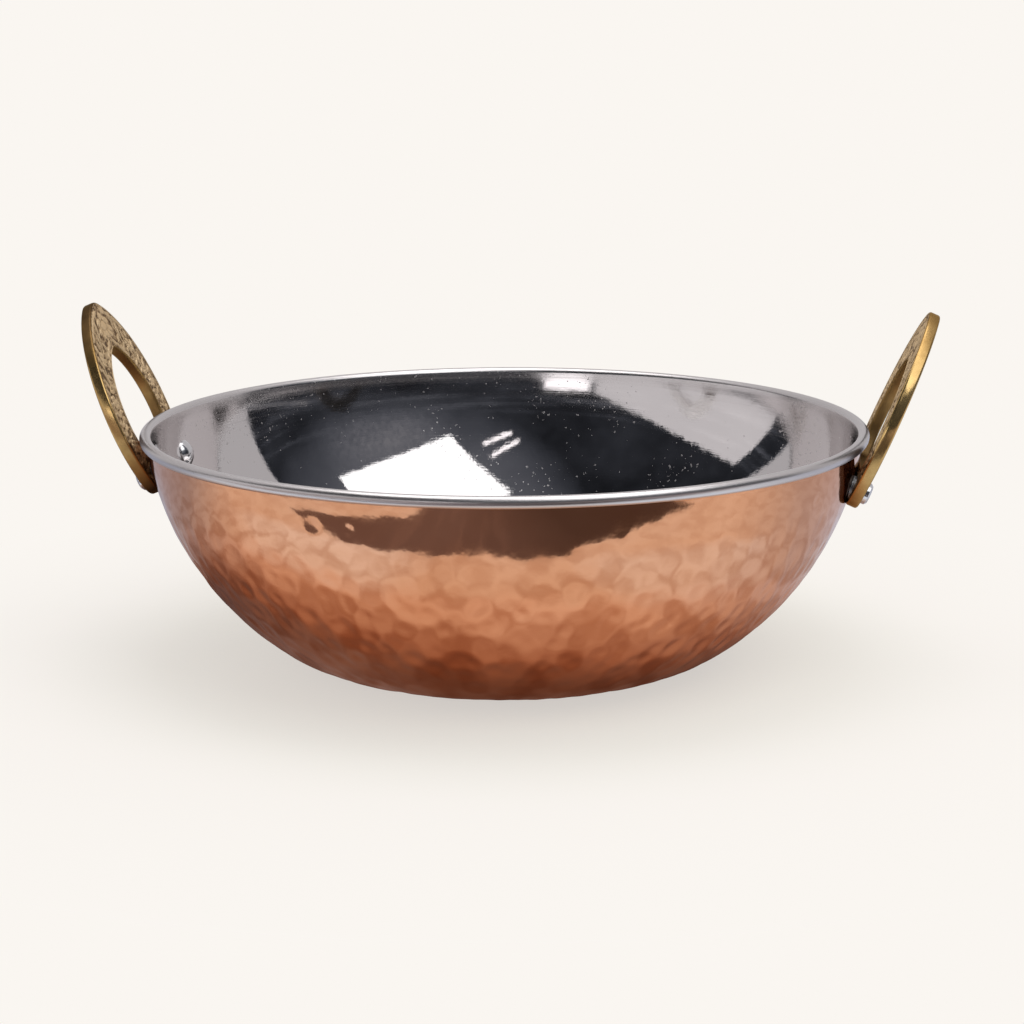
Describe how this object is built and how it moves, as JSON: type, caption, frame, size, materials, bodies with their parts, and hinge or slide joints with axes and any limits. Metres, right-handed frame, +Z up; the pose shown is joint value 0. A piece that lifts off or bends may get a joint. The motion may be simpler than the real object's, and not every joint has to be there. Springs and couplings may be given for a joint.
{
  "type": "kadai",
  "caption": "Two-skinned cooking and serving kadai: hammered copper outside, polished steel inside, with upright cast brass ear handles riveted near the rim.",
  "frame": {"origin": "middle of the flat base, on the surface that the kadai stands on", "axes": "+X towards the right handle, +Y towards the back, +Z up out of the mouth"},
  "size_m": [0.2948, 0.25, 0.122],
  "materials": {
    "copper": "hammered, bright polished, lightly lacquered",
    "steel": "mirror polished",
    "brass": "antique, cast relief on the faces, rubbed bright on the edges",
    "rivet_steel": "polished"
  },
  "bodies": {
    "root": {"outer_shell": "copper", "inner_bowl": "steel", "handle_left": "brass", "handle_right": "brass", "rivet_left_front": "rivet_steel", "rivet_left_back": "rivet_steel", "rivet_right_front": "rivet_steel", "rivet_right_back": "rivet_steel", "collar_left_front": "rivet_steel", "collar_left_back": "rivet_steel", "collar_right_front": "rivet_steel", "collar_right_back": "rivet_steel"}
  },
  "joints": []
}
